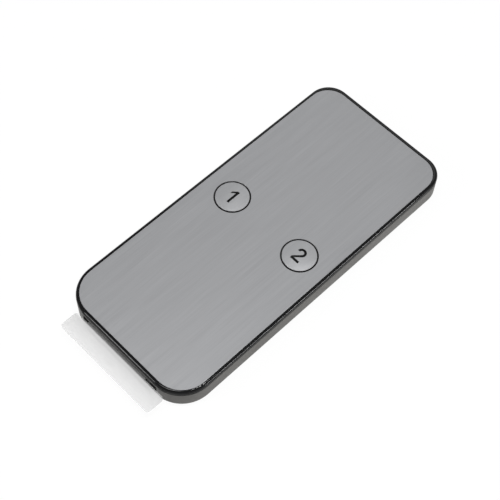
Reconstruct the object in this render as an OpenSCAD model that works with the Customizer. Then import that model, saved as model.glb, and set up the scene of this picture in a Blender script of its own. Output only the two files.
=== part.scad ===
// Two-key infrared card remote: clip-together case, face sheet, snap-dome keys and a sliding coin-cell tray.
// Millimetres. The origin is the centre of the flat rear face.
// +Z leaves the key face and +Y points to the lamp end.

/* [Case] */
// Length of the case
case_length = 86; // [82:0.5:110]
// Width of the case
case_width = 38.8; // [36:0.1:50]
// Corner radius at the lamp end
head_corner_r = 5.6; // [4:0.1:9]
// Corner radius at the battery end
tail_corner_r = 8.2; // [4:0.1:9]
// Thickness of the side walls
wall = 1.2; // [1:0.05:1.5]
// Thickness of the rear floor
rear_floor = 1; // [0.8:0.05:1.3]
// Thickness of the deck under the face sheet
deck = 0.95; // [0.75:0.05:1.4]
// Height of the front shell's side, above the parting line
skirt_h = 1.5; // [1.2:0.05:1.6]
// Rounding of the rear outer edge
rear_edge_r = 0.9; // [0.3:0.05:1]
// Rounding of the rim's outer top edge
rim_edge_r = 0.65; // [0.3:0.05:0.7]
// Height and depth of the shadow groove at the parting line
parting_groove = 0.2; // [0.05:0.05:0.3]

/* [Shell fit] */
// Thickness of the locating lip under the front shell
lip_t = 0.7; // [0.5:0.05:1]
// Height of the locating lip
lip_h = 0.8; // [0.5:0.05:1.2]
// Gap between the lip and the rear wall
lip_gap = 0.1; // [0.05:0.05:0.2]
// How far each clip bump stands out of the lip
clip_bump = 0.25; // [0.15:0.05:0.35]
// Length of each clip bump
clip_l = 5; // [3:0.5:8]
// Diameter of the board posts
post_d = 3; // [2.4:0.1:4]
// Diameter of the locating pins on the posts
pin_d = 1.4; // [1:0.1:1.8]
// Distance of the posts from the board's edges
post_inset = 3; // [2.5:0.1:5]

/* [Face sheet] */
// Rim width at the sides
sheet_side_margin = 0.8; // [0.6:0.05:1.5]
// Rim width at the ends
sheet_end_margin = 1; // [0.6:0.05:2]
// Corner radius of the sheet at the lamp end
sheet_head_r = 5.3; // [3:0.1:8]
// Corner radius of the sheet at the battery end
sheet_tail_r = 7; // [3:0.1:9]
// Thickness of the sheet
sheet_t = 0.3; // [0.2:0.05:0.6]
// Thickness of the adhesive under the sheet
adhesive_t = 0.1; // [0.05:0.05:0.2]
// How far the adhesive stops short of the sheet's edge
adhesive_inset = 0.5; // [0.2:0.1:1]
// Gap between the sheet and the rim
sheet_gap = 0.08; // [0.04:0.02:0.2]
// How far the rim stands above the sheet
rim_rise = 0.15; // [0.15:0.05:0.4]

/* [Keys] */
// Diameter of each key
key_d = 8.2; // [6.5:0.1:9.5]
// Distance between the two keys
key_spacing = 21.8; // [16:0.2:23]
// Place of the keys along the case, from its middle
key_y = 1.6; // [-4:0.2:8]
// Gap round each key in the face sheet
key_gap = 0.3; // [0.15:0.05:0.5]
// Rise of the key's crown
key_crown = 0.25; // [0.05:0.01:0.3]
// Width of the flange that keeps the key under the sheet
key_flange = 0.7; // [0.5:0.05:1]
// Thickness of the key flange
flange_t = 0.25; // [0.2:0.05:0.4]
// Running gap round and above the flange
flange_gap = 0.1; // [0.08:0.02:0.3]
// Diameter of the pip that presses the dome
pip_d = 2.5; // [1.5:0.1:4]
// Gap between the pip and the dome
pip_gap = 0.05; // [0.03:0.01:0.1]
// Diameter of each snap dome
dome_d = 7; // [5:0.1:8]
// Height of each snap dome
dome_h = 0.45; // [0.4:0.01:0.5]
// Thickness of the dome metal
dome_t = 0.12; // [0.08:0.01:0.2]
// Thickness of the film that places the domes
spacer_t = 0.2; // [0.1:0.05:0.3]
// Gap between a dome and the film round it
spacer_gap = 0.2; // [0.1:0.05:0.4]
// Width of the film in front of and behind the domes
spacer_margin = 3; // [1.5:0.5:5]

/* [Board] */
// Thickness of the circuit board
board_t = 1; // [0.8:0.1:1.2]
// Gap between the board and the lip
board_gap = 0.4; // [0.2:0.1:1]
// Height between the board and the deck for the domes
key_room = 0.6; // [0.55:0.05:0.8]
// Corner radius of the board
board_corner_r = 1.5; // [0.5:0.1:3]
// Gap round pins and wires in the board's holes
hole_gap = 0.1; // [0.05:0.05:0.25]

/* [Infrared lamp] */
// Diameter of the lamp
lamp_d = 3; // [2.4:0.1:3.2]
// Length of the lamp
lamp_l = 5; // [4.4:0.1:6]
// Width of the flange at the lamp's base
lamp_flange = 0.3; // [0.2:0.05:0.35]
// Thickness of the lamp's flange
lamp_flange_t = 0.8; // [0.5:0.1:1.2]
// Gap between the lamp and its hole
lamp_gap = 0.1; // [0.05:0.05:0.2]
// Thickness of the lamp's wires
wire_t = 0.5; // [0.4:0.05:0.6]
// Distance between the lamp's wires
wire_pitch = 2.54; // [2:0.02:2.6]
// Distance from the lamp to the bend in its wires
wire_run = 3.4; // [2.6:0.1:5]
// Distance from the lamp to the board
lamp_board_gap = 1; // [0.5:0.1:1.5]

/* [Board parts] */
// Distance of the encoder chip from the keys
chip_from_keys = 14; // [12:0.5:18]
// Gap between the chip's body and the board
chip_lift = 0.15; // [0.05:0.05:0.2]
// Gap between the other bodies and the board
body_lift = 0.1; // [0.05:0.05:0.2]
// Length of the encoder chip
chip_l = 4.9; // [4:0.1:10]
// Width of the encoder chip
chip_w = 3.9; // [3:0.1:5]
// Height of the encoder chip
chip_h = 1.4; // [1:0.05:1.5]
// Number of legs on each side of the chip
chip_legs_a_side = 4; // [2:1:7]
// Distance between the chip's legs
leg_pitch = 1.27; // [1.1:0.01:1.4]
// Width of each leg
leg_w = 0.4; // [0.3:0.05:0.5]
// Thickness of each leg
leg_t = 0.2; // [0.15:0.05:0.25]
// Reach of each leg from the chip
leg_reach = 1.05; // [0.8:0.05:1.3]
// Length of the resonator
resonator_l = 7.4; // [6:0.1:8]
// Width of the resonator
resonator_w = 3.4; // [3:0.1:4]
// Height of the resonator
resonator_h = 1.7; // [1.2:0.05:1.8]
// Length of the transistor
transistor_l = 2.9; // [2.6:0.1:3.2]
// Width of the transistor
transistor_w = 1.3; // [1.1:0.1:1.6]
// Height of the transistor
transistor_h = 1; // [0.8:0.05:1.2]
// Length of a chip resistor or capacitor
chip_part_l = 2; // [1.6:0.1:3]
// Width of a chip resistor or capacitor
chip_part_w = 1.25; // [0.8:0.05:1.6]
// Height of a chip resistor
resistor_h = 0.5; // [0.4:0.05:0.6]
// Height of a chip capacitor
capacitor_h = 0.9; // [0.6:0.05:1.2]

/* [Coin cell] */
// Diameter of the cell
cell_d = 20; // [16:0.1:20.5]
// Thickness of the cell
cell_t = 2.5; // [2:0.1:3.2]
// Width of the crimped edge round the cap
crimp_w = 1; // [0.8:0.05:1.3]
// Width of the gasket
gasket_w = 0.25; // [0.2:0.05:0.4]
// How far the cap stands above the crimp
cap_rise = 0.3; // [0.2:0.05:0.4]
// Height of the cap's seat, as a share of the cell's thickness
seat_share = 0.6; // [0.5:0.05:0.7]
// Rounding of the can's edges
can_edge_r = 0.4; // [0.2:0.05:0.5]

/* [Battery tray] */
// Gap round the cell in its pocket
pocket_gap = 0.15; // [0.1:0.05:0.3]
// Thickness of the tray beside the cell
tray_side = 1.5; // [1.2:0.05:1.8]
// Thickness of the wall behind the cell and between the cell and the latch
pocket_wall = 0.55; // [0.5:0.05:0.8]
// Thickness of the tray in front of the cell
tray_front = 3; // [2.8:0.1:4]
// How far the tray's front stands out of the case
tray_lip = 0.45; // [0.2:0.05:0.8]
// Running gap between the tray and the case
slide_gap = 0.25; // [0.2:0.05:0.4]
// Gap between the tray frame and the rear floor
tray_lift = 0.15; // [0.1:0.05:0.25]
// How far the tray's floor lies in from the rear face
tray_inset = 0.1; // [0.05:0.05:0.2]
// Height of the bar of the case above the tray
end_bar = 0.5; // [0.4:0.05:0.6]
// How far that bar rises into the front shell's side
bar_rise = 0.4; // [0.2:0.05:0.5]
// Width of the floor ledge on which each side of the tray runs
ledge_w = 1.3; // [1:0.1:2]
// Thickness of the guide rails beside the tray
rail_t = 0.8; // [0.6:0.1:1.2]
// Width of the gap in the back of the tray for the contacts
tray_mouth = 11; // [9:0.5:13]
// Number of finger grooves on the tray
groove_count = 3; // [2:1:4]
// Distance between the finger grooves
groove_pitch = 1.4; // [1.2:0.1:2]
// Depth of the finger grooves
groove_depth = 0.4; // [0.2:0.05:0.6]
// Length of the finger grooves
groove_l = 9; // [6:0.5:10]

/* [Latch] */
// Width that the latch takes from the tray's front
latch_bay_w = 2.65; // [2.65:0.05:3.5]
// Gap between the tray's front and the latch
latch_gap = 0.65; // [0.65:0.05:1]
// Thickness of the latch's pad
pad_t = 1.45; // [1.2:0.05:1.8]
// Width of the latch's arm
arm_w = 1; // [0.8:0.05:1.2]
// Radius of the latch's round root
root_r = 0.8; // [0.65:0.05:0.9]
// Gap between the root and its socket
root_gap = 0.07; // [0.04:0.01:0.1]
// Distance of the root from the tray's front
root_back = 5.5; // [5:0.1:6]
// Distance of the root from the tray's side
root_in = 1.45; // [1.3:0.05:1.7]
// How far the hook stands out of the pad
hook = 0.3; // [0.15:0.05:0.35]

/* [Contacts] */
// Thickness of the contact metal
contact_t = 0.2; // [0.1:0.05:0.25]
// Width of the contact over the cell
negative_w = 5; // [3:0.5:7]
// Width of the leaf behind the cell
positive_w = 8; // [6:0.5:9]
// Height between the cell and the deck for the contact
contact_room = 1.25; // [1.1:0.05:1.8]
// Gap between the film or the cell and a contact
contact_gap = 0.04; // [0.03:0.01:0.1]
// Place of the upper contact's touch, past the cell's middle
touch_past = 2; // [1:0.5:3]
// Length of the upper contact's touch
touch_l = 1.2; // [0.8:0.1:2]
// Length of the upper contact's raised tip
tip_l = 2.4; // [1.5:0.1:3]
// Rise of the upper contact's tip
tip_rise = 0.35; // [0.2:0.05:0.5]
// Length of the upper contact's step in front of the board
step_l = 2; // [1.5:0.1:2.5]
// Length of the contact ends soldered to the board
solder_l = 3.5; // [2:0.5:5]

/* [Pull tab] */
// Width of the tab's head
tab_head_w = 28.8; // [22:0.2:32]
// Sideways place of the tab's head
tab_head_x = 0.4; // [-1:0.1:1]
// Length of the tab's head outside the case
tab_head_l = 4.8; // [3:0.1:8]
// Gap between the tab's head and the case
tab_head_gap = 0.2; // [0.2:0.05:1]
// Corner radius of the tab's head
tab_corner_r = 0.9; // [0.5:0.1:2]
// Width of the tongue between the cell and the contact
tongue_w = 18.8; // [10:0.2:20]
// Sideways place of the tongue
tongue_x = -0.8; // [-1:0.1:0]
// Reach of the tongue past the cell's middle
tongue_past = 5; // [3:0.5:7]
// Thickness of the film
film_t = 0.12; // [0.08:0.01:0.2]
// Gap between the film and the cell
film_gap = 0.04; // [0.02:0.01:0.1]

/* [Hidden] */
$fn = 64;
// Facets of the very shallow arcs of the key crowns and the snap domes
fine_fn = 1440;
// How far a cut runs past the face that it opens
cut = 1;

// Ends of the case
head_y = case_length / 2;
tail_y = -case_length / 2;

// Heights, from the rear face up
tray_z = rear_floor + tray_lift;
cell_top = tray_z + cell_t;
film_z = cell_top + film_gap;
film_top = film_z + film_t;
deck_z = cell_top + contact_room;
deck_top = deck_z + deck;
sheet_z = deck_top + adhesive_t;
sheet_top = sheet_z + sheet_t;
case_top = sheet_top + rim_rise;
parting_z = case_top - skirt_h;
bar_top = parting_z + bar_rise;
opening_top = bar_top - end_bar;
board_top = deck_z - key_room;
board_z = board_top - board_t;

// Coin cell and tray
seat_z = cell_t * seat_share;
cap_r = cell_d / 2 - crimp_w - gasket_w;
pocket_r = cell_d / 2 + pocket_gap;
tray_w = 2 * (pocket_r + tray_side);
tray_floor_w = tray_w - 2 * ledge_w;
tray_top = cell_top - film_gap;
cell_y = tail_y + tray_front + pocket_r;
tray_front_y = tail_y - tray_lip;
tray_back_y = cell_y + cell_d / 2 + pocket_wall;
opening_w = tray_w + 2 * slide_gap;
bar_w = opening_w + 2 * rail_t;
window_w = tray_floor_w + 2 * slide_gap;
stop_y = tray_back_y + slide_gap;

// Latch
latch_gap_x = tray_w / 2 - latch_bay_w;
root_x = tray_w / 2 - root_in;
root_y = tail_y + root_back;
latch_low = rear_floor + tray_lift + slide_gap;
latch_top = tray_top - slide_gap;
pad_x = latch_gap_x + latch_gap;
pad_side = tray_w / 2 - slide_gap;
mouth_depth = root_r - slide_gap;

// Circuit board
lamp_base_y = head_y - lamp_l;
lamp_z = rear_floor + lamp_gap + lamp_d / 2 + lamp_flange;
wire_y = lamp_base_y - wire_run;
board_w = case_width - 2 * (wall + lip_gap + lip_t + board_gap);
board_head_y = lamp_base_y - lamp_board_gap;
board_tail_y = stop_y + rail_t + board_gap;
board_l = board_head_y - board_tail_y;
post_x = board_w / 2 - post_inset;
post_ys = [board_tail_y + post_inset, board_head_y - post_inset];

// Board parts
chip_y = key_y + chip_from_keys;
side_x = chip_w / 2 + leg_reach + resonator_w;

// Keys
flange_top = sheet_z - flange_gap;
pip_z = board_top + dome_h + pip_gap;
key_hole_r = key_d / 2 + key_gap;
flange_r = key_d / 2 + key_flange;
deck_hole_r = flange_r + flange_gap + key_gap / 2;

// Face sheet
sheet_l = case_length - 2 * sheet_end_margin;
sheet_w = case_width - 2 * sheet_side_margin;

// Case sections reach this far in from the outline
band = wall + lip_gap + lip_t;

// Clip places along the sides
clip_ys = [-case_length / 5, case_length / 5];
clip_z = deck_z - lip_h + clip_bump;
lip_l = case_length - 2 * (tail_corner_r + wall);

// Rectangle about the middle with one corner radius at each end
module card(length, width, head_r, tail_r) {
    for (side = [-1, 1]) {
        translate([side * (width / 2 - head_r), length / 2 - head_r])
            quarter(head_r, side > 0 ? 0 : 90);
        translate([side * (width / 2 - tail_r), tail_r - length / 2])
            quarter(tail_r, side > 0 ? 270 : 180);
    }
    translate([head_r - width / 2, length / 2 - head_r])
        square([width - 2 * head_r, head_r]);
    translate([tail_r - width / 2, -length / 2])
        square([width - 2 * tail_r, tail_r]);
    translate([-width / 2, tail_r - length / 2])
        square([width, length - head_r - tail_r]);
}

module quarter(r, turn) {
    rotate(turn)
        intersection() {
            circle(r);
            square(r);
        }
}

// Sweeps a section round the case outline.
// In the section, x is the depth in from the outline and y the height.
module round_the_case() {
    side_run = case_length - head_corner_r - tail_corner_r;
    for (flip = [0, 1])
        mirror([flip, 0, 0]) {
            translate([case_width / 2, head_y - head_corner_r, 0])
                run(side_run) children();
            translate([case_width / 2 - head_corner_r, head_y - head_corner_r, 0])
                turn(head_corner_r) children();
            translate([case_width / 2 - tail_corner_r, tail_y + tail_corner_r, 0])
                rotate(-90) turn(tail_corner_r) children();
        }
    translate([head_corner_r - case_width / 2, head_y, 0])
        rotate(90) run(case_width - 2 * head_corner_r) children();
    translate([case_width / 2 - tail_corner_r, tail_y, 0])
        rotate(-90) run(case_width - 2 * tail_corner_r) children();
}

module run(length) {
    rotate([90, 0, 0])
        linear_extrude(length)
            mirror([1, 0]) children();
}

module turn(r) {
    rotate_extrude(angle = 90)
        translate([r, 0]) mirror([1, 0]) children();
}

module inner_card(inset) {
    card(case_length - 2 * inset, case_width - 2 * inset, head_corner_r - inset, tail_corner_r - inset);
}

module at_keys() {
    for (side = [-1, 1])
        translate([side * key_spacing / 2, key_y, 0]) children();
}

module at_posts() {
    for (side = [-1, 1])
        for (y = post_ys)
            translate([side * post_x, y, 0]) children();
}

// A box given by its lowest and highest corners
module block(low, high) {
    translate(low) cube(high - low);
}

// Rear case half: a shallow tub with a rounded rear edge and an end opening for the tray
module rear_section() {
    r = min(rear_edge_r, rear_floor);
    translate([r, 0]) square([band - r, rear_floor]);
    translate([0, r]) square([wall, parting_z - r]);
    translate([r, r]) quarter(r, 180);
}

module end_bar_section() {
    translate([0, opening_top]) square([wall, end_bar]);
}

module clip_recess(y) {
    half = [cut, clip_l / 2 + lip_gap, clip_bump + lip_gap];
    translate([case_width / 2 - wall + clip_bump - half[0], y, clip_z])
        cube(2 * half, center = true);
}

module rear_shell() {
    rail_top = tray_top - tray_lift;
    rail_front_y = tail_y + wall;
    color("#625f5b") {
        difference() {
            union() {
                round_the_case() rear_section();
                linear_extrude(rear_floor) inner_card(band);
                intersection() {
                    round_the_case() end_bar_section();
                    block([-bar_w / 2, tail_y - cut, opening_top],
                        [bar_w / 2, tail_y + wall + lip_gap / 2, bar_top]);
                }
                for (side = [-1, 1])
                    translate([side * (opening_w + rail_t) / 2 - rail_t / 2, rail_front_y, 0])
                        cube([rail_t, stop_y + rail_t - rail_front_y, rail_top]);
                for (side = [-1, 1])
                    translate([side * (opening_w + tray_mouth) / 4 - (opening_w - tray_mouth) / 4, stop_y, 0])
                        cube([(opening_w - tray_mouth) / 2, rail_t, rail_top]);
                at_posts() cylinder(d = post_d, h = board_z);
                at_posts() cylinder(d = pin_d, h = board_top);
            }
            block([-opening_w / 2, tail_y - cut, rear_floor],
                [opening_w / 2, tail_y + wall + cut / 2, opening_top]);
            block([-window_w / 2, tail_y - cut, -cut], [window_w / 2, stop_y, rear_floor + cut / 2]);
            translate([0, head_y + cut, lamp_z])
                rotate([90, 0, 0]) cylinder(d = lamp_d + 2 * lamp_gap, h = wall + 2 * cut);
            for (flip = [0, 1])
                mirror([flip, 0, 0])
                    for (y = clip_ys) clip_recess(y);
        }
    }
}

// Front case half: deck, raised rim round the face sheet, lip with clips, and a notch for the end bar
module front_section() {
    r = rim_edge_r;
    g = parting_groove;
    translate([g, parting_z]) square([band - g, g]);
    translate([0, parting_z + g]) square([band, skirt_h - r - g]);
    translate([r, case_top - r]) square([band - r, r]);
    translate([r, case_top - r]) quarter(r, 90);
    translate([band - lip_t, deck_z]) square([lip_t, case_top - deck_z]);
}

module front_shell() {
    lip_x = case_width / 2 - wall - lip_gap;
    notch = [bar_w / 2 + lip_gap, tail_y + wall + lip_gap];
    color("#151516")
        difference() {
            union() {
                round_the_case() front_section();
                translate([0, 0, deck_z]) linear_extrude(case_top - deck_z) inner_card(band);
                for (flip = [0, 1])
                    mirror([flip, 0, 0]) {
                        translate([lip_x - lip_t, tail_y + tail_corner_r + wall, deck_z - lip_h])
                            cube([lip_t, lip_l, lip_h]);
                        for (y = clip_ys)
                            translate([lip_x, y, clip_z])
                                rotate([90, 0, 0])
                                    cylinder(r = clip_bump, h = clip_l, center = true);
                    }
                at_posts()
                    translate([0, 0, board_top + hole_gap])
                        cylinder(d = post_d, h = deck_z - board_top - hole_gap);
            }
            translate([0, 0, deck_top])
                linear_extrude(case_top)
                    card(sheet_l + 2 * sheet_gap, sheet_w + 2 * sheet_gap,
                        sheet_head_r + sheet_gap, sheet_tail_r + sheet_gap);
            at_keys()
                translate([0, 0, deck_z - cut]) cylinder(r = deck_hole_r, h = deck + 2 * cut);
            block([-notch[0], tail_y - cut, parting_z - cut], [notch[0], notch[1], bar_top]);
        }
}

// Brushed face sheet and the adhesive under it
module face_overlay() {
    color("#9c9da0")
        translate([0, 0, sheet_z])
            difference() {
                linear_extrude(sheet_t) card(sheet_l, sheet_w, sheet_head_r, sheet_tail_r);
                at_keys() translate([0, 0, -cut]) cylinder(r = key_hole_r, h = sheet_t + 2 * cut);
            }
}

module overlay_adhesive() {
    inset = adhesive_inset;
    color("#d8d4c4")
        translate([0, 0, deck_top])
            difference() {
                linear_extrude(adhesive_t)
                    card(sheet_l - 2 * inset, sheet_w - 2 * inset,
                        sheet_head_r - inset, sheet_tail_r - inset);
                at_keys() translate([0, 0, -cut]) cylinder(r = deck_hole_r, h = adhesive_t + 2 * cut);
            }
}

// Round key: crowned disc, flange under the face sheet and a pip on the snap dome
module key(side) {
    key_r = key_d / 2;
    crown_r = (key_r * key_r + key_crown * key_crown) / (2 * key_crown);
    color("#a6a7aa")
        translate([side * key_spacing / 2, key_y, 0]) {
            translate([0, 0, pip_z]) cylinder(d = pip_d, h = flange_top - flange_t - pip_z);
            translate([0, 0, flange_top - flange_t]) cylinder(r = flange_r, h = flange_t);
            rotate_extrude()
                intersection() {
                    translate([0, flange_top]) square([key_r, sheet_top + key_crown - flange_top]);
                    translate([0, sheet_top + key_crown - crown_r]) circle(crown_r, $fn = fine_fn);
                }
        }
}

module key_1() key(-1);
module key_2() key(1);

// Sprung metal dome that snaps down on the board when its key is pressed
module snap_dome(side) {
    dome_r = dome_d / 2;
    ball_r = (dome_r * dome_r + dome_h * dome_h) / (2 * dome_h);
    color("#c9cbce")
        translate([side * key_spacing / 2, key_y, board_top])
            rotate_extrude()
                intersection() {
                    square([dome_r, dome_h]);
                    translate([0, dome_h - ball_r])
                        difference() {
                            circle(ball_r, $fn = fine_fn);
                            circle(ball_r - dome_t, $fn = fine_fn);
                        }
                }
}

module snap_dome_1() snap_dome(-1);
module snap_dome_2() snap_dome(1);

module dome_spacer() {
    opening_r = dome_d / 2 + spacer_gap;
    half = [board_w / 2 - board_gap, opening_r + spacer_margin];
    color("#e3dcc0")
        translate([0, 0, board_top])
            difference() {
                translate([-half[0], key_y - half[1], 0]) cube([2 * half[0], 2 * half[1], spacer_t]);
                at_keys() translate([0, 0, -cut]) cylinder(r = opening_r, h = spacer_t + 2 * cut);
            }
}

// Circuit board with holes for the locating pins and for the lamp's wires
module circuit_board() {
    color("#2f6b3a")
        translate([0, 0, board_z])
            difference() {
                translate([0, (board_head_y + board_tail_y) / 2, 0])
                    linear_extrude(board_t) card(board_l, board_w, board_corner_r, board_corner_r);
                at_posts() translate([0, 0, -cut]) cylinder(d = pin_d + 2 * hole_gap, h = board_t + 2 * cut);
                for (side = [-1, 1])
                    translate([side * wire_pitch / 2, wire_y, -cut])
                        cylinder(d = wire_t * sqrt(2) + 2 * hole_gap, h = board_t + 2 * cut);
            }
}

// Infrared lamp in the head wall and its two bent wires
module infrared_led() {
    lamp_r = lamp_d / 2;
    color("#6f7fb5")
        translate([0, lamp_base_y, lamp_z])
            rotate([-90, 0, 0])
                rotate_extrude() {
                    square([lamp_r + lamp_flange, lamp_flange_t]);
                    square([lamp_r, lamp_l - lamp_r]);
                    translate([0, lamp_l - lamp_r]) quarter(lamp_r, 0);
                }
}

module led_leads() {
    half = wire_t / 2;
    color("#c4c6c8")
        for (side = [-1, 1])
            translate([side * wire_pitch / 2, 0, 0]) {
                block([-half, wire_y - half, lamp_z - half], [half, lamp_base_y, lamp_z + half]);
                block([-half, wire_y - half, lamp_z - half], [half, wire_y + half, board_top + spacer_t]);
            }
}

// Parts soldered to the rear of the board
module encoder_chip() {
    bevel = chip_h / 6;
    section = [
        [-chip_w / 2, -chip_h / 2], [-chip_w / 2 + bevel, 0], [chip_w / 2 - bevel, 0],
        [chip_w / 2, -chip_h / 2], [chip_w / 2 - bevel, -chip_h], [-chip_w / 2 + bevel, -chip_h]
    ];
    color("#1c1c1e")
        translate([0, chip_y + chip_l / 2, board_z - chip_lift])
            rotate([90, 0, 0]) linear_extrude(chip_l) polygon(section);
}

module gull_leg() {
    root = -chip_lift - chip_h / 2;
    foot = leg_reach / 2;
    path = [[0, root], [leg_reach / 3, root], [leg_reach - foot, -leg_t], [leg_reach, -leg_t]];
    back = [for (i = [len(path) - 1 : -1 : 0]) path[i] + [0, leg_t]];
    rotate([90, 0, 0]) linear_extrude(leg_w, center = true) polygon(concat(path, back));
}

module chip_legs() {
    color("#c8c9cb")
        for (flip = [0, 1])
            mirror([flip, 0, 0])
                for (i = [0 : chip_legs_a_side - 1])
                    translate([chip_w / 2, chip_y + (i - (chip_legs_a_side - 1) / 2) * leg_pitch, board_z])
                        gull_leg();
}

module ceramic_resonator() {
    foot_w = resonator_l / 6;
    color("#b9793c")
        translate([side_x, chip_y, board_z]) {
            translate([-resonator_w / 2, -resonator_l / 2, -resonator_h])
                cube([resonator_w, resonator_l, resonator_h - body_lift]);
            for (i = [-1, 0, 1])
                translate([-resonator_w / 2, i * (resonator_l - foot_w) / 2 - foot_w / 2, -body_lift])
                    cube([resonator_w, foot_w, body_lift]);
        }
}

module driver_transistor() {
    leg = transistor_w / 3;
    places = [[-1, -transistor_l / 3], [-1, transistor_l / 3], [1, 0]];
    color("#202022")
        translate([-side_x, wire_y - transistor_l, board_z]) {
            translate([-transistor_w / 2, -transistor_l / 2, -transistor_h])
                cube([transistor_w, transistor_l, transistor_h - body_lift]);
            for (p = places)
                translate([p[0] * (transistor_w + leg) / 2 - leg / 2, p[1] - leg / 2, -transistor_h / 2])
                    cube([leg, leg, transistor_h / 2]);
        }
}

module chip_part(height) {
    translate([-chip_part_w / 2, -chip_part_l / 2, -height]) cube([chip_part_w, chip_part_l, height]);
}

module chip_resistors() {
    color("#1f2a33")
        for (y = [chip_y - chip_l, chip_y, wire_y])
            translate([-side_x, y, board_z]) chip_part(resistor_h);
}

module chip_capacitors() {
    color("#b08d63")
        for (side = [-1, 1])
            translate([side * side_x, board_tail_y + 2 * chip_part_l, board_z]) chip_part(capacitor_h);
}

// Contact strip of one thickness along a path of points
module strip(path, thickness) {
    back = [for (i = [len(path) - 1 : -1 : 0]) path[i] + [0, thickness]];
    polygon(concat(path, back));
}

module negative_contact() {
    touch_z = film_top + contact_gap;
    touch_y = cell_y + touch_past;
    half = touch_l / 2;
    path = [
        [touch_y - half - tip_l, touch_z + tip_rise], [touch_y - half, touch_z], [touch_y + half, touch_z],
        [board_tail_y - step_l, board_top], [board_tail_y + solder_l, board_top]
    ];
    color("#d3c48e")
        translate([-negative_w / 2, 0, 0])
            rotate([90, 0, 90]) linear_extrude(negative_w) strip(path, contact_t);
}

module positive_contact() {
    cell_back_y = cell_y + cell_d / 2;
    touch_y = cell_back_y + contact_gap;
    base_y = board_tail_y - contact_t - board_gap / 2;
    low = tray_z + slide_gap;
    half = positive_w / 2;
    path = [[-half, base_y], [-half / 4, touch_y], [half / 4, touch_y], [half, base_y]];
    tab_w = half / 2;
    tab_l = board_tail_y + solder_l - base_y;
    color("#d3c48e") {
        translate([0, 0, low]) linear_extrude(board_z - low) strip(path, contact_t);
        for (side = [-1, 1])
            translate([side * (half - tab_w / 2) - tab_w / 2, base_y, board_z - contact_t])
                cube([tab_w, tab_l, contact_t]);
    }
}

// Coin cell: can, gasket and cap
module cell_can() {
    can_r = cell_d / 2;
    rim_z = cell_t - cap_rise;
    edge = can_edge_r;
    color("#c2c5c8")
        translate([0, cell_y, tray_z])
            rotate_extrude() {
                translate([can_r - edge, edge]) quarter(edge, 270);
                translate([can_r - edge, rim_z - edge]) quarter(edge, 0);
                translate([can_r - edge, edge]) square([edge, rim_z - 2 * edge]);
                square([can_r - edge, seat_z]);
                translate([can_r - crimp_w, seat_z]) square([crimp_w - edge, rim_z - seat_z]);
            }
}

module cell_gasket() {
    color("#2a2a2c")
        translate([0, cell_y, tray_z])
            rotate_extrude()
                translate([cap_r, seat_z])
                    square([gasket_w, cell_t - cap_rise / 2 - seat_z]);
}

module cell_cap() {
    color("#b8bbbe")
        translate([0, cell_y, tray_z])
            rotate_extrude() {
                translate([0, seat_z]) square([cap_r, cell_t - cap_rise - seat_z]);
                translate([0, cell_t - cap_rise]) square([cap_r - cap_rise, cap_rise]);
                translate([cap_r - cap_rise, cell_t - cap_rise]) quarter(cap_rise, 0);
            }
}

// Tray frame that carries the cell, with a floor that closes the rear window
module latch_bay() {
    wall_r = pocket_r + pocket_wall + slide_gap;
    difference() {
        translate([latch_gap_x, tail_y - cut]) square([tray_w, root_back - mouth_depth + cut]);
        translate([0, cell_y]) circle(wall_r);
    }
    translate([root_x, root_y]) circle(root_r + root_gap);
}

module battery_tray() {
    color("#333335")
        difference() {
            union() {
                block([-tray_w / 2, tray_front_y, tray_z], [tray_w / 2, tray_back_y, tray_top]);
                block([-tray_floor_w / 2, tray_front_y, tray_inset], [tray_floor_w / 2, tray_back_y, tray_z]);
            }
            translate([0, cell_y, tray_z]) cylinder(r = pocket_r, h = cell_t + cut);
            block([-tray_mouth / 2, cell_y, tray_z], [tray_mouth / 2, tray_back_y + cut, tray_top + cut]);
            linear_extrude(case_top) latch_bay();
            for (i = [1 : groove_count])
                translate([(latch_gap_x - tray_floor_w / 2 - groove_l) / 2, tail_y + i * groove_pitch, -cut])
                    cube([groove_l, groove_pitch / 2, cut + tray_inset + groove_depth]);
        }
}

// Sprung finger at the tray's front corner, pressed sideways to let the tray go
module tray_latch() {
    pad_back_y = tail_y + pad_t;
    low_side = tray_floor_w / 2 - slide_gap;
    color("#3a3a3c") {
        translate([root_x, root_y, latch_low]) cylinder(r = root_r, h = latch_top - latch_low);
        block([root_x - arm_w / 2, pad_back_y, latch_low], [root_x + arm_w / 2, root_y, latch_top]);
        block([pad_x, tray_front_y, latch_low], [pad_side, pad_back_y, latch_top]);
        block([pad_x, tray_front_y, tray_inset + slide_gap], [low_side, pad_back_y, latch_low]);
        block([pad_side, tail_y + pad_t / 2, latch_low], [pad_side + hook, pad_back_y, latch_top]);
    }
}

// Clear film: a head to pull and a tongue that keeps the new cell off its contact
module pull_tab() {
    tongue_l = cell_y + tongue_past - tail_y + tab_head_gap;
    color("#eef0f2", 0.6)
        translate([0, tail_y - tab_head_gap, film_z])
            linear_extrude(film_t) {
                translate([tab_head_x, -tab_head_l / 2])
                    card(tab_head_l, tab_head_w, tab_corner_r, tab_corner_r);
                intersection() {
                    translate([tongue_x, 0]) card(2 * tongue_l, tongue_w, tab_corner_r, tab_corner_r);
                    translate([tab_head_x - tab_head_w / 2, -tab_head_l / 2])
                        square([tab_head_w, tongue_l + tab_head_l]);
                }
            }
}

rear_shell();
front_shell();
face_overlay();
overlay_adhesive();
key_1();
key_2();
snap_dome_1();
snap_dome_2();
dome_spacer();
circuit_board();
infrared_led();
led_leads();
encoder_chip();
chip_legs();
ceramic_resonator();
driver_transistor();
chip_resistors();
chip_capacitors();
positive_contact();
negative_contact();
battery_tray();
tray_latch();
cell_can();
cell_gasket();
cell_cap();
pull_tab();
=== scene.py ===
import math

import bpy
from mathutils import Matrix, Vector


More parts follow.
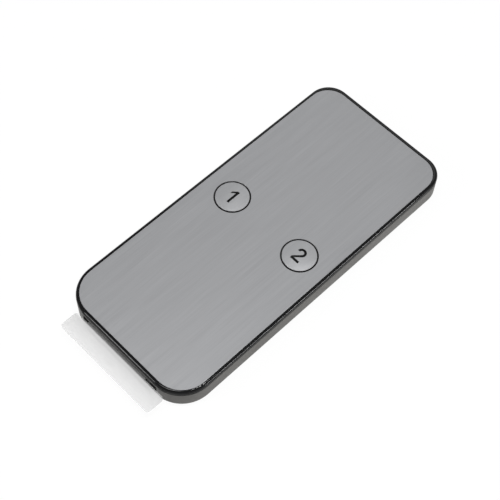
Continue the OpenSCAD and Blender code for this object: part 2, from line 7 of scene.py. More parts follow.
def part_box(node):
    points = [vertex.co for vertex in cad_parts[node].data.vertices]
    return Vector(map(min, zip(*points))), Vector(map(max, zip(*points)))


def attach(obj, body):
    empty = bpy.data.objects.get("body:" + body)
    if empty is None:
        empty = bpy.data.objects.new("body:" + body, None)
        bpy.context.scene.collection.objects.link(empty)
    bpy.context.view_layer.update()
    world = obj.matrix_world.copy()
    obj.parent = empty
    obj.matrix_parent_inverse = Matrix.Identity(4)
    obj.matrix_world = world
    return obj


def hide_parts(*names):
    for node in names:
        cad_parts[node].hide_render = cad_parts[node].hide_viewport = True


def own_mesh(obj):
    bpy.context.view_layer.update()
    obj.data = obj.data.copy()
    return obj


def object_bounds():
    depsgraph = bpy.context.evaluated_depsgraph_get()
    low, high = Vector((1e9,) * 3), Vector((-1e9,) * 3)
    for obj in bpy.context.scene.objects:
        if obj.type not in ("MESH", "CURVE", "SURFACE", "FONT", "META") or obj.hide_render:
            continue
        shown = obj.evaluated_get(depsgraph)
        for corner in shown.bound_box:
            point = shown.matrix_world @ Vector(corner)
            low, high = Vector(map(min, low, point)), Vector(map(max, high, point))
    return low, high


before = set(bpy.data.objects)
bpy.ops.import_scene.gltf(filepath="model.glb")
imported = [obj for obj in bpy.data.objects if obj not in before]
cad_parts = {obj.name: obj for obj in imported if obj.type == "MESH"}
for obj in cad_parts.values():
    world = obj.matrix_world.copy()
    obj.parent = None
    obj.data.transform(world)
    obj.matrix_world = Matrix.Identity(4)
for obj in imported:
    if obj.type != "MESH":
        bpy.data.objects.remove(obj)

cad_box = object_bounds()


# Rear case half
# A shallow tub moulded in dark grey plastic, with a fine spark-eroded grain on its outside.
# It lies on its flat rear face and carries the board, the lamp and the tray's rails.
MM = 0.001
weld_gap = 0.001 * MM


def shader(name):
    material = bpy.data.materials.new(name)
    material.use_nodes = True
    tree = material.node_tree
    return material, tree, tree.nodes["Principled BSDF"]


def add_node(tree, kind, **values):
    node = tree.nodes.new(kind)
    for key, value in values.items():
        if key in node.inputs:
            node.inputs[key].default_value = value
        else:
            setattr(node, key, value)
    return node


def start_group(name, inputs, outputs):
    group = bpy.data.node_groups.new(name, "ShaderNodeTree")
    for socket_name, value in inputs.items():
        socket = group.interface.new_socket(
            socket_name, in_out="INPUT", socket_type="NodeSocketFloat")
        socket.default_value = value
    for socket_name in outputs:
        group.interface.new_socket(socket_name, in_out="OUTPUT", socket_type="NodeSocketFloat")
    return group, group.nodes.new("NodeGroupInput"), group.nodes.new("NodeGroupOutput")


def place_group(tree, group, values):
    node = add_node(tree, "ShaderNodeGroup", node_tree=group)
    for key, value in values.items():
        node.inputs[key].default_value = value
    return node


def spread(tree, source, low, high, start=0.3, end=0.7):
    """Maps a source from its range, start to end, where most noise lies, to low to high."""
    node = add_node(tree, "ShaderNodeMapRange")
    for key, value in (("From Min", start), ("From Max", end), ("To Min", low), ("To Max", high)):
        node.inputs[key].default_value = value
    tree.links.new(source, node.inputs["Value"])
    return node.outputs["Result"]


def blend_colours(tree, factor, dark, light):
    node = add_node(tree, "ShaderNodeMix", data_type="RGBA")
    first_colour, second_colour, mixed_colour = 6, 7, 2
    tree.links.new(factor, node.inputs["Factor"])
    node.inputs[first_colour].default_value = (*dark, 1)
    node.inputs[second_colour].default_value = (*light, 1)
    return node.outputs[mixed_colour]


def add_relief(tree, bsdf, height, depth):
    bump = add_node(tree, "ShaderNodeBump", Distance=depth)
    tree.links.new(height, bump.inputs["Height"])
    tree.links.new(bump.outputs["Normal"], bsdf.inputs["Normal"])


# The grain of a moulded part: fine even pits, and broad patches that hands have polished.
moulded_grain, grain_in, grain_out = start_group(
    "moulded grain", {"Pits per metre": 7000, "Patches per metre": 120}, ["Pits", "Patches"])
grain_place = add_node(moulded_grain, "ShaderNodeTexCoord")
for output, source, detail in (("Pits", "Pits per metre", 2), ("Patches", "Patches per metre", 4)):
    noise = add_node(moulded_grain, "ShaderNodeTexNoise", Detail=detail)
    moulded_grain.links.new(grain_place.outputs["Object"], noise.inputs["Vector"])
    moulded_grain.links.new(grain_in.outputs[source], noise.inputs["Scale"])
    moulded_grain.links.new(noise.outputs["Fac"], grain_out.inputs[output])


def moulded_plastic(name, dark, light, smooth, rough, pit_depth, pits, specular):
    material, tree, bsdf = shader(name)
    bsdf.inputs["Specular IOR Level"].default_value = specular
    grain = place_group(tree, moulded_grain, {"Pits per metre": pits})
    colour = blend_colours(tree, grain.outputs["Patches"], dark, light)
    tree.links.new(colour, bsdf.inputs["Base Color"])
    tree.links.new(spread(tree, grain.outputs["Patches"], smooth, rough), bsdf.inputs["Roughness"])
    add_relief(tree, bsdf, grain.outputs["Pits"], pit_depth)
    return material


def finish_node(node, body, material, edge=0):
    """Makes a merged copy of a CAD node to stand for it, smooth on its rounds.

    Where edge is given, the copy's sharp edges are broken to that width.
    """
    sharp = math.radians(35)
    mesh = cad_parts[node].data.copy()
    mesh.materials.clear()
    mesh.materials.append(material)
    piece = bpy.data.objects.new(node + "_finished", mesh)
    bpy.context.collection.objects.link(piece)
    bpy.ops.object.select_all(action="DESELECT")
    piece.select_set(True)
    bpy.context.view_layer.objects.active = piece
    bpy.ops.mesh.customdata_custom_splitnormals_clear()
    bpy.ops.object.mode_set(mode="EDIT")
    bpy.ops.mesh.select_all(action="SELECT")
    bpy.ops.mesh.remove_doubles(threshold=weld_gap)
    bpy.ops.object.mode_set(mode="OBJECT")
    bpy.ops.object.shade_smooth_by_angle(angle=sharp)
    if edge:
        bevel = piece.modifiers.new("broken edge", "BEVEL")
        bevel.width = edge
        bevel.segments = 2
        bevel.limit_method = "ANGLE"
        bevel.angle_limit = sharp
        bevel.harden_normals = True
        bpy.ops.object.modifier_apply(modifier=bevel.name)
    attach(piece, body)
    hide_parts(node)
    return piece


rear_plastic = moulded_plastic(
    "rear case plastic", dark=(0.0648, 0.0622, 0.0568), light=(0.078, 0.075, 0.0684),
    smooth=0.42, rough=0.54, pit_depth=0.012 * MM, pits=6500, specular=0.35)
finish_node("rear_shell", "case", rear_plastic)


# Circuit board
# Glass-fibre laminate with etched tracks under green solder mask.
# It drops over four pins of the rear half and is held down by the front half.
def lay_on(material, *nodes):
    for node in nodes:
        for material_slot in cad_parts[node].material_slots:
            material_slot.material = material


board_mask, board_tree, board_bsdf = shader("green solder mask")
board_place = add_node(board_tree, "ShaderNodeTexCoord")
tracks_per_metre = 330
fibres_per_metre = 1500
track_height = 0.03 * MM
tracks = add_node(
    board_tree, "ShaderNodeTexVoronoi", Scale=tracks_per_metre, feature="DISTANCE_TO_EDGE")
laminate = add_node(board_tree, "ShaderNodeTexNoise", Scale=fibres_per_metre, Detail=3)
for texture in (tracks, laminate):
    board_tree.links.new(board_place.outputs["Object"], texture.inputs["Vector"])
copper = spread(board_tree, tracks.outputs["Distance"], low=1, high=0, start=0.05, end=0.08)
mask_colour = blend_colours(
    board_tree, copper, dark=(0.012, 0.085, 0.025), light=(0.035, 0.2, 0.06))
mask_roughness = spread(board_tree, laminate.outputs["Fac"], low=0.28, high=0.42)
board_tree.links.new(mask_colour, board_bsdf.inputs["Base Color"])
board_tree.links.new(mask_roughness, board_bsdf.inputs["Roughness"])
add_relief(board_tree, board_bsdf, copper, track_height)
lay_on(board_mask, "circuit_board")


# Board parts
# Chip, transistor and resistors in matt black compound, a brown ceramic resonator and two tan
# capacitors. Their tinned legs are soldered to the rear of the board.
chip_compound = moulded_plastic(
    "chip compound", dark=(0.012, 0.012, 0.013), light=(0.02, 0.02, 0.021),
    smooth=0.55, rough=0.7, pit_depth=0.01 * MM, pits=12000, specular=0.35)
resonator_ceramic = moulded_plastic(
    "resonator coating", dark=(0.42, 0.16, 0.045), light=(0.52, 0.22, 0.07),
    smooth=0.3, rough=0.45, pit_depth=0.008 * MM, pits=4000, specular=0.5)
capacitor_ceramic = moulded_plastic(
    "capacitor ceramic", dark=(0.38, 0.25, 0.12), light=(0.46, 0.31, 0.16),
    smooth=0.4, rough=0.55, pit_depth=0.006 * MM, pits=9000, specular=0.45)
lay_on(chip_compound, "encoder_chip", "chip_resistors")
finish_node("driver_transistor", "case", chip_compound)
lay_on(resonator_ceramic, "ceramic_resonator")
lay_on(capacitor_ceramic, "chip_capacitors")

# Lines left by brushing or rolling along the case: fine lines, and broad bands of them.
brushed_lines, lines_in, lines_out = start_group(
    "brushed lines", {"Lines per metre": 8000, "Breaks per metre": 60}, ["Fine", "Broad"])
lines_place = add_node(brushed_lines, "ShaderNodeTexCoord")
lines_split = add_node(brushed_lines, "ShaderNodeSeparateXYZ")
brushed_lines.links.new(lines_place.outputs["Object"], lines_split.inputs["Vector"])
lines_along = add_node(brushed_lines, "ShaderNodeMath", operation="MULTIPLY")
brushed_lines.links.new(lines_split.outputs["Y"], lines_along.inputs[0])
brushed_lines.links.new(lines_in.outputs["Breaks per metre"], lines_along.inputs[1])
lines_across = add_node(brushed_lines, "ShaderNodeMath", operation="MULTIPLY")
brushed_lines.links.new(lines_split.outputs["X"], lines_across.inputs[0])
brushed_lines.links.new(lines_in.outputs["Lines per metre"], lines_across.inputs[1])
for output, width_scale in (("Fine", 1), ("Broad", 0.1)):
    across = add_node(brushed_lines, "ShaderNodeMath", operation="MULTIPLY")
    across.inputs[1].default_value = width_scale
    brushed_lines.links.new(lines_across.outputs[0], across.inputs[0])
    streak_place = add_node(brushed_lines, "ShaderNodeCombineXYZ")
    brushed_lines.links.new(across.outputs[0], streak_place.inputs["X"])
    brushed_lines.links.new(lines_along.outputs[0], streak_place.inputs["Y"])
    noise = add_node(brushed_lines, "ShaderNodeTexNoise", Scale=1, Detail=3)
    brushed_lines.links.new(streak_place.outputs[0], noise.inputs["Vector"])
    brushed_lines.links.new(noise.outputs["Fac"], lines_out.inputs[output])


def rolled_metal(name, dark, light, smooth, rough, lines_per_metre):
    material, tree, bsdf = shader(name)
    bsdf.inputs["Metallic"].default_value = 1
    lines = place_group(tree, brushed_lines, {"Lines per metre": lines_per_metre})
    colour = blend_colours(tree, lines.outputs["Broad"], dark, light)
    tree.links.new(colour, bsdf.inputs["Base Color"])
    tree.links.new(spread(tree, lines.outputs["Fine"], smooth, rough), bsdf.inputs["Roughness"])
    add_relief(tree, bsdf, lines.outputs["Fine"], depth=0.002 * MM)
    return material


tinned_metal = rolled_metal(
    "tinned metal", dark=(0.52, 0.52, 0.5), light=(0.66, 0.66, 0.64),
    smooth=0.3, rough=0.45, lines_per_metre=5000)
lay_on(tinned_metal, "chip_legs", "led_leads")


# Infrared lamp
# A 3 mm lamp in clear blue-tinted resin, pushed from inside into the hole in the head wall.
lamp_resin, lamp_tree, lamp_bsdf = shader("tinted lamp resin")
lamp_bsdf.inputs["Transmission Weight"].default_value = 0.8
lamp_bsdf.inputs["IOR"].default_value = 1.52
lamp_grain = place_group(lamp_tree, moulded_grain, {"Patches per metre": 500})
lamp_tint = blend_colours(
    lamp_tree, lamp_grain.outputs["Patches"], dark=(0.3, 0.36, 0.58), light=(0.38, 0.45, 0.66))
lamp_roughness = spread(lamp_tree, lamp_grain.outputs["Patches"], low=0.04, high=0.12)
lamp_tree.links.new(lamp_tint, lamp_bsdf.inputs["Base Color"])
lamp_tree.links.new(lamp_roughness, lamp_bsdf.inputs["Roughness"])
finish_node("infrared_led", "case", lamp_resin)


# Contacts
# Two strips of nickel-plated bronze, bent to spring against the cell and soldered to the board.
contact_metal = rolled_metal(
    "plated bronze", dark=(0.62, 0.52, 0.3), light=(0.74, 0.64, 0.4),
    smooth=0.22, rough=0.34, lines_per_metre=6000)
lay_on(contact_metal, "positive_contact", "negative_contact")


# Battery tray and its latch
# The tray is a black moulded frame that slides out of the end with the coin cell.
# The latch is the sprung finger at its front corner that clicks behind the case wall.
tray_plastic = moulded_plastic(
    "tray plastic", dark=(0.016, 0.016, 0.016), light=(0.024, 0.024, 0.024),
    smooth=0.4, rough=0.52, pit_depth=0.01 * MM, pits=8000, specular=0.4)
finish_node("battery_tray", "tray", tray_plastic)
finish_node("tray_latch", "latch", tray_plastic)


# Coin cell
# A turned and crimped steel can with the cap in it, kept apart by a dark nylon gasket.
cell_low, cell_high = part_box("cell_can")
cell_middle = (cell_low + cell_high) / 2
cell_steel, cell_tree, cell_bsdf = shader("turned cell steel")
cell_bsdf.inputs["Metallic"].default_value = 1
cell_place = add_node(cell_tree, "ShaderNodeTexCoord")
cell_centre = add_node(cell_tree, "ShaderNodeMapping")
cell_centre.inputs["Location"].default_value = -cell_middle
cell_tree.links.new(cell_place.outputs["Object"], cell_centre.inputs["Vector"])
turning_scale = 900
turning = add_node(
    cell_tree, "ShaderNodeTexWave", wave_type="RINGS", rings_direction="Z", Scale=turning_scale,
    Distortion=3, Detail=3)
cell_tree.links.new(cell_centre.outputs["Vector"], turning.inputs["Vector"])
cell_grain = place_group(cell_tree, moulded_grain, {"Patches per metre": 250})
cell_colour = blend_colours(
    cell_tree, cell_grain.outputs["Patches"], dark=(0.55, 0.555, 0.56), light=(0.68, 0.685, 0.69))
cell_roughness = spread(cell_tree, turning.outputs["Fac"], low=0.22, high=0.36, start=0, end=1)
cell_tree.links.new(cell_colour, cell_bsdf.inputs["Base Color"])
cell_tree.links.new(cell_roughness, cell_bsdf.inputs["Roughness"])
add_relief(cell_tree, cell_bsdf, turning.outputs["Fac"], depth=0.0015 * MM)
finish_node("cell_can", "tray", cell_steel)
finish_node("cell_cap", "tray", cell_steel)
gasket_nylon = moulded_plastic(
    "gasket nylon", dark=(0.02, 0.02, 0.022), light=(0.03, 0.03, 0.032),
    smooth=0.35, rough=0.5, pit_depth=0.004 * MM, pits=9000, specular=0.4)
lay_on(gasket_nylon, "cell_gasket")


# Pull tab
# A die-cut strip of frosted clear film that keeps the new cell off its contact until pulled out.
# Its cover thins over the tray front, where the dark tray shows through, and towards the free end,
# so that the tab darkens towards the case: painted shade for the case's shadow on it.
cloudy_film, cloud_in, cloud_out = start_group(
    "cloudy film", {"Clouds per metre": 200, "Specks per metre": 5000}, ["Clouds", "Specks"])
cloud_place = add_node(cloudy_film, "ShaderNodeTexCoord")
for output, source in (("Clouds", "Clouds per metre"), ("Specks", "Specks per metre")):
    noise = add_node(cloudy_film, "ShaderNodeTexNoise", Detail=4)
    cloudy_film.links.new(cloud_place.outputs["Object"], noise.inputs["Vector"])
    cloudy_film.links.new(cloud_in.outputs[source], noise.inputs["Scale"])
    cloudy_film.links.new(noise.outputs["Fac"], cloud_out.inputs[output])


def clear_film(name, dark, light, thin, thick, fades=()):
    """Makes a see-through film. Each fade thins its cover to a share between two places along Y."""
    material, tree, bsdf = shader(name)
    bsdf.inputs["Specular IOR Level"].default_value = 0.3
    film = place_group(tree, cloudy_film, {})
    colour = blend_colours(tree, film.outputs["Clouds"], dark, light)
    roughness = spread(tree, film.outputs["Specks"], low=0.42, high=0.6)
    tree.links.new(colour, bsdf.inputs["Base Color"])
    tree.links.new(roughness, bsdf.inputs["Roughness"])
    cover = spread(tree, film.outputs["Clouds"], thin, thick)
    if fades:
        place = add_node(tree, "ShaderNodeTexCoord")
        split = add_node(tree, "ShaderNodeSeparateXYZ")
        tree.links.new(place.outputs["Object"], split.inputs["Vector"])
    for start, end, share in fades:
        keep = spread(tree, split.outputs["Y"], low=1, high=share, start=start, end=end)
        faded = add_node(tree, "ShaderNodeMath", operation="MULTIPLY")
        tree.links.new(cover, faded.inputs[0])
        tree.links.new(keep, faded.inputs[1])
        cover = faded.outputs[0]
    tree.links.new(cover, bsdf.inputs["Alpha"])
    add_relief(tree, bsdf, film.outputs["Specks"], depth=0.002 * MM)
    return material


# Both fades paint shade: the cover thins over the tray front so the dark tray shows, and thins
# towards the free end, so the tab is darker near the case.
tray_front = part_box("battery_tray")[0].y
free_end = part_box("pull_tab")[0].y
slot_shade_from = tray_front - 0.2 * MM
slot_shade_to = tray_front + 0.1 * MM
slot_shade_share = 0.3
case_shade_end_share = 0.4
flat_side = 0.9
tab_film = clear_film(
    "frosted tab film", dark=(0.64, 0.64, 0.64), light=(0.68, 0.68, 0.68), thin=0.74, thick=0.82,
    fades=((slot_shade_from, slot_shade_to, slot_shade_share), (tray_front, free_end, case_shade_end_share)))
# The cut edges are paler and denser than the film: a painted highlight for the bright line along
# the film's edge.
tab_edge_highlight = clear_film(
    "cut tab edge highlight", dark=(0.86, 0.86, 0.86), light=(0.92, 0.92, 0.92), thin=0.85, thick=0.95)
tab_piece = finish_node("pull_tab", "tab", tab_film, edge=0.02 * MM)
tab_piece.data.materials.append(tab_edge_highlight)
for face in tab_piece.data.polygons:
    face.material_index = 1 if abs(face.normal.z) < flat_side else 0


# Snap domes and the film that places them
# Each dome is pressed from spring steel and lies in an opening of a clear spacer film on the board.
# On the real remote its middle goes down flat when its key is pressed; here each dome keeps its
# resting shape.
spring_steel = rolled_metal(
    "spring steel", dark=(0.58, 0.58, 0.58), light=(0.7, 0.7, 0.7),
    smooth=0.18, rough=0.3, lines_per_metre=7000)
for node, joint in (("snap_dome_1", "first_key_press"), ("snap_dome_2", "second_key_press")):
    dome = finish_node(node, "case", spring_steel)
    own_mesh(dome)
spacer_film = clear_film(
    "spacer film", dark=(0.66, 0.62, 0.46), light=(0.74, 0.7, 0.54), thin=0.6, thick=0.75)
lay_on(spacer_film, "dome_spacer")


# Front case half
# The upper half, moulded in glossy black and clipped over the rear half.
# Its rim stands a little above the face sheet and hides the sheet's cut edge.
rim_gloss = moulded_plastic(
    "glossy rim plastic", dark=(0.0065, 0.0065, 0.0068), light=(0.0085, 0.0085, 0.0088),
    smooth=0.06, rough=0.1, pit_depth=0.0004 * MM, pits=3000, specular=0.2)
skirt_satin = moulded_plastic(
    "satin skirt plastic", dark=(0.007, 0.007, 0.0072), light=(0.0095, 0.0095, 0.0097),
    smooth=0.12, rough=0.18, pit_depth=0.002 * MM, pits=7000, specular=0.035)
inward_lean = -0.1 * MM
skirt_tilt = 0.4
front_piece = finish_node("front_shell", "case", rim_gloss)
front_piece.data.materials.append(skirt_satin)
for face in front_piece.data.polygons:
    leans_in = face.normal.x * face.center.x + face.normal.y * face.center.y < inward_lean
    face.material_index = 1 if leans_in or face.normal.z < skirt_tilt else 0


# Face sheet
# A metallised film brushed along its length and stuck down inside the rim with an adhesive sheet.
# Its outer cut edge is dark, and the edges of the key openings show the grey core of the film.
adhesive_film = clear_film(
    "adhesive film", dark=(0.6, 0.58, 0.48), light=(0.7, 0.68, 0.58), thin=0.7, thick=0.85)
lay_on(adhesive_film, "overlay_adhesive")


def brushed_film(name, dark, light, metal):
    material, tree, bsdf = shader(name)
    bsdf.inputs["Metallic"].default_value = metal
    lines = place_group(tree, brushed_lines, {})
    shade = add_node(tree, "ShaderNodeMath", operation="ADD")
    for term, (output, share) in enumerate((("Fine", 0.6), ("Broad", 0.4))):
        part = spread(tree, lines.outputs[output], low=0, high=share)
        tree.links.new(part, shade.inputs[term])
    colour = blend_colours(tree, shade.outputs[0], dark, light)
    roughness = spread(tree, lines.outputs["Fine"], low=0.38, high=0.48)
    tree.links.new(colour, bsdf.inputs["Base Color"])
    tree.links.new(roughness, bsdf.inputs["Roughness"])
    add_relief(tree, bsdf, lines.outputs["Fine"], depth=0.0015 * MM)
    return material


def darken_edges_and_gap_sides(piece, material, above=0.0):
    """Leaves the film only on the faces above a height that look up, and darkens all others."""
    looks_up = 0.9
    piece.data.materials.append(material)
    for face in piece.data.polygons:
        is_film = face.normal.z > looks_up and face.center.z > above
        face.material_index = 0 if is_film else 1


edge_and_ring_shade = moulded_plastic(
    "cut film edge and key ring shade", dark=(0.008, 0.008, 0.008), light=(0.014, 0.014, 0.014),
    smooth=0.5, rough=0.65, pit_depth=0.002 * MM, pits=9000, specular=0.2)
face_film = brushed_film(
    "brushed face film", dark=(0.253, 0.256, 0.264), light=(0.297, 0.3, 0.309), metal=0.35)
face_sheet = finish_node("face_overlay", "case", face_film, edge=0.03 * MM)
darken_edges_and_gap_sides(face_sheet, edge_and_ring_shade)
opening_edge = moulded_plastic(
    "cut opening edge", dark=(0.19, 0.19, 0.195), light=(0.23, 0.23, 0.235),
    smooth=0.5, rough=0.65, pit_depth=0.002 * MM, pits=9000, specular=0.2)
face_sheet.data.materials.append(opening_edge)
outline_band = 2 * MM
opening_wall_tilt = 0.5
sheet_low, sheet_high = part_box("face_overlay")
for face in face_sheet.data.polygons:
    within = sheet_low.x + outline_band < face.center.x < sheet_high.x - outline_band
    within = within and sheet_low.y + outline_band < face.center.y < sheet_high.y - outline_band
    if within and abs(face.normal.z) < opening_wall_tilt:
        face.material_index = 2


# Keys
# Crowned discs faced with brushed film. A flange on the black body keeps each under the face sheet.
# The gap round it shows as a dark ring, made darker by painted shade: near-black sides and flange,
# and a dark border painted round the crown's edge. Its very top is a hair low, to leave room for
# the ink.
key_film = brushed_film(
    "brushed key film", dark=(0.288, 0.291, 0.299), light=(0.338, 0.341, 0.35), metal=0.5)
ink_room = 0.004 * MM
ring_shade_border = 0.1 * MM


def paint_ring_shade(piece):
    """Paints a narrow dark border at the crown's edge: painted shade that widens the gap's dark
    ring.
    """
    bpy.ops.object.mode_set(mode="EDIT")
    bpy.ops.mesh.select_mode(type="FACE")
    bpy.ops.mesh.select_all(action="DESELECT")
    bpy.ops.object.mode_set(mode="OBJECT")
    for face in piece.data.polygons:
        face.select = face.material_index == 0
    bpy.ops.object.mode_set(mode="EDIT")
    bpy.ops.mesh.inset(thickness=ring_shade_border)
    bpy.ops.object.mode_set(mode="OBJECT")
    for face in piece.data.polygons:
        if not face.select:
            face.material_index = 1


flange_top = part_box("face_overlay")[0].z
key_places = []
key_pieces = []
for node, body in (("key_1", "first_key"), ("key_2", "second_key")):
    low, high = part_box(node)
    key_piece = finish_node(node, body, key_film)
    # The key's sides and flange go near-black: a dark body, and painted shade that darkens the gap
    # ring.
    darken_edges_and_gap_sides(key_piece, edge_and_ring_shade, above=flange_top)
    paint_ring_shade(key_piece)
    for vertex in key_piece.data.vertices:
        vertex.co.z = min(vertex.co.z, high.z - ink_room)
    key_places.append((low + high) / 2)
    key_pieces.append(key_piece)


# Numbers
# The numbers 1 and 2 are screen-printed in black ink on the crowns of the keys.
number_height = 3.8 * MM
stroke = 0.6 * MM
ink_depth = 0.03 * MM
ink_rise = 0.003 * MM
ink_cuts = 14
start_above = 1 * MM
number_ink = moulded_plastic(
    "black ink", dark=(0.004, 0.004, 0.004), light=(0.008, 0.008, 0.008),
    smooth=0.5, rough=0.65, pit_depth=0.003 * MM, pits=9000, specular=0.06)


def start_bar(name, low, high):
    bpy.ops.object.select_all(action="DESELECT")
    bpy.ops.mesh.primitive_plane_add(size=1)
    piece = bpy.context.object
    piece.name = name
    bpy.ops.object.mode_set(mode="EDIT")
    bpy.ops.transform.resize(value=(high[0] - low[0], high[1] - low[1], 1))
    bpy.ops.transform.translate(value=((low[0] + high[0]) / 2, (low[1] + high[1]) / 2, 0))
    return piece


def pick_edge(piece, middle):
    """Selects the one edge whose middle lies nearest to a point, and returns its middle."""
    bpy.ops.mesh.select_all(action="DESELECT")
    bpy.ops.object.mode_set(mode="OBJECT")
    verts = piece.data.vertices
    middles = {}
    for edge in piece.data.edges:
        first, second = edge.vertices
        middles[edge.index] = (verts[first].co + verts[second].co) / 2
    nearest = min(middles, key=lambda index: (middles[index].xy - Vector(middle)).length)
    piece.data.edges[nearest].select = True
    bpy.ops.object.mode_set(mode="EDIT")
    bpy.ops.mesh.select_mode(type="EDGE")
    return middles[nearest]


def print_number(piece, key_piece, place, body):
    """Lays a flat number on the crown of its key, as a thin coat of ink that rides with the key."""
    bpy.ops.mesh.select_all(action="SELECT")
    bpy.ops.mesh.remove_doubles(threshold=weld_gap)
    bpy.ops.mesh.subdivide(number_cuts=ink_cuts)
    bpy.ops.transform.translate(value=(place.x, place.y, cad_box[1].z + start_above))
    bpy.ops.object.mode_set(mode="OBJECT")
    wrap = piece.modifiers.new("on the crown", "SHRINKWRAP")
    wrap.target = key_piece
    wrap.wrap_method = "PROJECT"
    wrap.use_project_z = True
    wrap.use_positive_direction = False
    wrap.use_negative_direction = True
    bpy.ops.object.modifier_apply(modifier=wrap.name)
    ink = piece.modifiers.new("ink", "SOLIDIFY")
    ink.thickness = ink_depth
    ink.offset = 2 * ink_rise / ink_depth - 1
    bpy.ops.object.modifier_apply(modifier=ink.name)
    piece.data.materials.append(number_ink)
    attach(piece, body)


# The one is a bar with a flag drawn out of its upper left side.
one_right = 0.6 * MM
flag_root = 0.78 * MM
flag_reach = Vector((-0.96, -0.9)) * MM
one = start_bar(
    "number_one", (one_right - stroke, -number_height / 2), (one_right, number_height / 2))
bpy.ops.mesh.bisect(plane_co=(0, number_height / 2 - flag_root, 0), plane_no=(0, 1, 0))
flag_middle = pick_edge(one, (one_right - stroke, (number_height - flag_root) / 2))
bpy.ops.mesh.extrude_region_move(TRANSFORM_OT_translate={"value": (*flag_reach, 0)})
flag_end = flag_middle + Vector((*flag_reach, 0))
bpy.ops.transform.resize(value=(1, stroke / flag_root, 1), center_override=flag_end)
print_number(one, key_pieces[0], key_places[0], "first_key")

# The two is a foot, a slanting stroke drawn out of the foot's left end, and a bowl spun from that.
two_width = 2.4 * MM
foot_top = -number_height / 2 + stroke
bowl_outer = 1.15 * MM
bowl_middle = Vector((0, number_height / 2 - bowl_outer))
bowl_centreline = bowl_outer - stroke / 2
slant = math.radians(45)
bowl_turn = math.radians(-228)
bowl_steps = 24
heel = 0.66 * MM
two = start_bar("number_two", (-two_width / 2, -number_height / 2), (two_width / 2, foot_top))
bpy.ops.mesh.bisect(plane_co=(heel - two_width / 2, 0, 0), plane_no=(1, 0, 0))
heel_middle = pick_edge(two, ((heel - two_width) / 2, foot_top))
bowl_start = bowl_middle + bowl_centreline * Vector((math.cos(slant), -math.sin(slant)))
slant_reach = bowl_start - heel_middle.xy
bpy.ops.mesh.extrude_region_move(TRANSFORM_OT_translate={"value": (*slant_reach, 0)})
bpy.ops.transform.resize(value=(stroke / heel, 1, 1), center_override=(*bowl_start, 0))
bpy.ops.transform.rotate(value=slant, orient_axis="Z", center_override=(*bowl_start, 0))
bpy.ops.mesh.spin(steps=bowl_steps, angle=bowl_turn, center=(*bowl_middle, 0), axis=(0, 0, 1))
print_number(two, key_pieces[1], key_places[1], "second_key")


# Studio
# A white table with a low white wall takes a faint shadow, in daylight from all round. Soft boxes
# hang overhead, in front and behind on the left, and two more draw the light lines along the rim.
def soft_box(name, place, width, height, brightness):
    data = bpy.data.lights.new(name, "AREA")
    data.shape = "RECTANGLE"
    data.size = width
    data.size_y = height
    watts_per_square_metre = 4
    data.energy = watts_per_square_metre * brightness * width * height
    lamp = bpy.data.objects.new(name, data)
    bpy.context.collection.objects.link(lamp)
    lamp.location = place
    lamp.rotation_euler = (-lamp.location).to_track_quat("-Z", "Y").to_euler()


bpy.ops.object.select_all(action="DESELECT")
table_reach = 3
table_drop = 0.02 * MM
table_whiteness = 0.95
bpy.ops.mesh.primitive_plane_add(size=2 * table_reach, location=(0, 0, -table_drop))
table = bpy.context.object
table.name = "white_table"
table_paint, table_tree, table_bsdf = shader("white table")
table_bsdf.inputs["Base Color"].default_value = (0.92, 0.92, 0.92, 1)
table_bsdf.inputs["Roughness"].default_value = 0.9
table_bsdf.inputs["Specular IOR Level"].default_value = 0.1
ray = add_node(table_tree, "ShaderNodeLightPath")
seen = ray.outputs["Is Camera Ray"]
for kind in ("Is Glossy Ray", "Is Transmission Ray"):
    either = add_node(table_tree, "ShaderNodeMath", operation="MAXIMUM")
    table_tree.links.new(seen, either.inputs[0])
    table_tree.links.new(ray.outputs[kind], either.inputs[1])
    seen = either.outputs[0]
whitening = add_node(table_tree, "ShaderNodeMath", operation="MULTIPLY")
whitening.inputs[1].default_value = table_whiteness
table_tree.links.new(seen, whitening.inputs[0])
white = add_node(table_tree, "ShaderNodeEmission", Strength=1.0)
table_mix = add_node(table_tree, "ShaderNodeMixShader")
table_tree.links.new(whitening.outputs[0], table_mix.inputs["Fac"])
table_tree.links.new(table_bsdf.outputs[0], table_mix.inputs[1])
table_tree.links.new(white.outputs[0], table_mix.inputs[2])
# From below the table is clear, so that the rear of the remote can be seen.
side_seen = add_node(table_tree, "ShaderNodeNewGeometry")
see_through = add_node(table_tree, "ShaderNodeBsdfTransparent")
table_sides = add_node(table_tree, "ShaderNodeMixShader")
table_tree.links.new(side_seen.outputs["Backfacing"], table_sides.inputs["Fac"])
table_tree.links.new(table_mix.outputs[0], table_sides.inputs[1])
table_tree.links.new(see_through.outputs[0], table_sides.inputs[2])
table_tree.links.new(table_sides.outputs[0], table_tree.nodes["Material Output"].inputs["Surface"])
table.data.materials.append(table_paint)

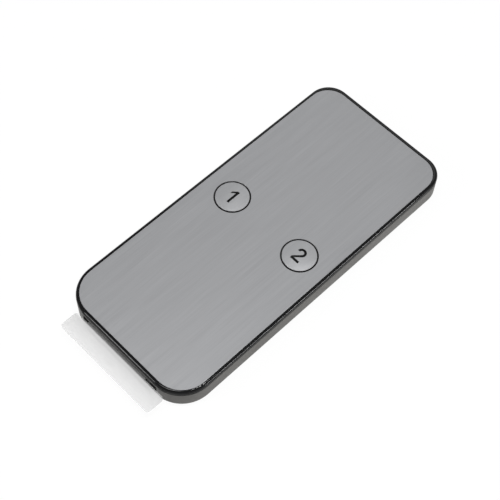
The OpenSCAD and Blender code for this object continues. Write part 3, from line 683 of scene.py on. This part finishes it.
# A low white wall behind the table on all sides hides its far edge.
wall_height = 0.4
wall_sides = 96
bpy.ops.object.select_all(action="DESELECT")
bpy.ops.mesh.primitive_cylinder_add(
    vertices=wall_sides, radius=table_reach, depth=wall_height, end_fill_type="NOTHING",
    location=(0, 0, wall_height / 2 - table_drop))
white_wall = bpy.context.object
white_wall.name = "white_wall"
bpy.ops.object.mode_set(mode="EDIT")
bpy.ops.mesh.flip_normals()
bpy.ops.object.mode_set(mode="OBJECT")
white_wall.data.materials.append(table_paint)

daylight = bpy.data.worlds.new("daylight")
daylight.use_nodes = True
sky = daylight.node_tree.nodes["Background"]
sky.inputs["Color"].default_value = (1, 1, 1, 1)
sky.inputs["Strength"].default_value = 0.14
bpy.context.scene.world = daylight
soft_box("overhead_box", (0.12, 0.06, 0.61), width=0.11, height=0.11, brightness=45.0)
soft_box("front_box", (-0.05, -0.07, 0.45), width=0.11, height=0.11, brightness=12.0)
soft_box("left_box", (-0.25, 0.333, 0.432), width=0.38, height=0.23, brightness=1.0)
soft_box("near_box", (-0.215, -0.46, 0.335), width=0.11, height=0.2, brightness=13.5)
soft_box("right_box", (0.6, 0.21, 0.032), width=0.3, height=0.06, brightness=34.0)

# The camera looks down on the keys from the right of the battery end.
camera_azimuth = math.radians(43.45)
camera_elevation = math.radians(59.71)
camera_roll = math.radians(2.46)
camera_distance = 265.1 * MM
camera_aside = Vector((2.385, 4.6)) * MM
frame_pixels = 500
focal_pixels = 1160.1
back = Vector((
    math.sin(camera_azimuth) * math.cos(camera_elevation),
    -math.cos(camera_azimuth) * math.cos(camera_elevation),
    math.sin(camera_elevation)))
level = Vector((math.cos(camera_azimuth), math.sin(camera_azimuth), 0))
right = Matrix.Rotation(camera_roll, 3, back) @ level
up = back.cross(right)
face_centre = Vector((0, 0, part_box("face_overlay")[1].z))
camera_place = face_centre + back * camera_distance - right * camera_aside.x - up * camera_aside.y
camera_data = bpy.data.cameras.new("camera")
camera_data.lens = camera_data.sensor_width * focal_pixels / frame_pixels
camera_data.clip_start = 10 * MM
camera = bpy.data.objects.new("camera", camera_data)
bpy.context.collection.objects.link(camera)
camera_turn = Matrix((right, up, back)).transposed().to_4x4()
camera.matrix_world = Matrix.Translation(camera_place) @ camera_turn
bpy.context.scene.camera = camera
bpy.context.scene.view_settings.view_transform = "Standard"
